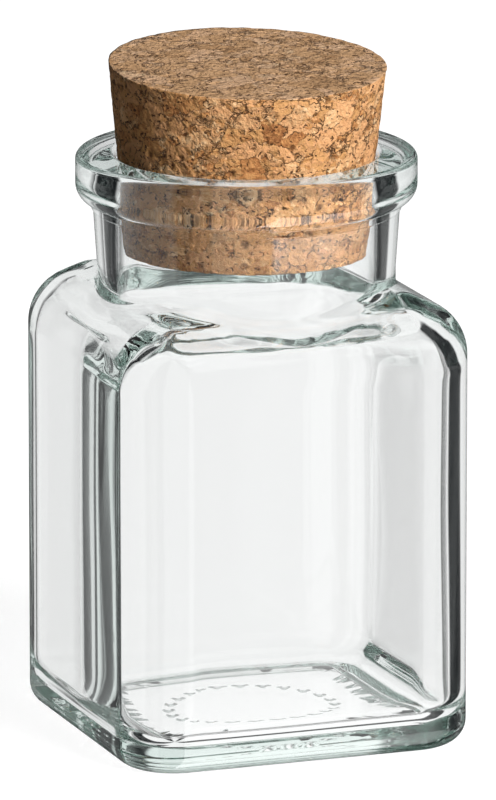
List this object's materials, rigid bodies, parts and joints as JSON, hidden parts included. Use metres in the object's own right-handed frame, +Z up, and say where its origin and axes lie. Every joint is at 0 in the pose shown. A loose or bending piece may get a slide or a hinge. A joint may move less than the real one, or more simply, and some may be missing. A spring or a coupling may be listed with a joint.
{
  "type": "glass storage jar with cork stopper",
  "caption": "Small square glass storage jar with rounded corners, a round neck with a rolled rim, and a tapered cork stopper that pulls straight out.",
  "frame": {"origin": "on the jar's upright axis, at the level of the table that the jar stands on", "axes": "+Z up along the jar's axis, out of the mouth; X and Y square to the flat sides"},
  "size_m": [0.054, 0.054, 0.1002],
  "materials": {
    "jar_glass": "clear moulded soda-lime glass with a faint green edge, gloss",
    "cork": "agglomerated cork, pressed granules with open pores, matt"
  },
  "bodies": {
    "jar": {"glass_jar": "jar_glass"},
    "cork": {"cork_stopper": "cork"}
  },
  "joints": [
    {"name": "cork_lift", "type": "slide", "parent": "jar", "child": "cork", "axis": [0, 0, 1], "range_m": [0, 0.04]}
  ]
}
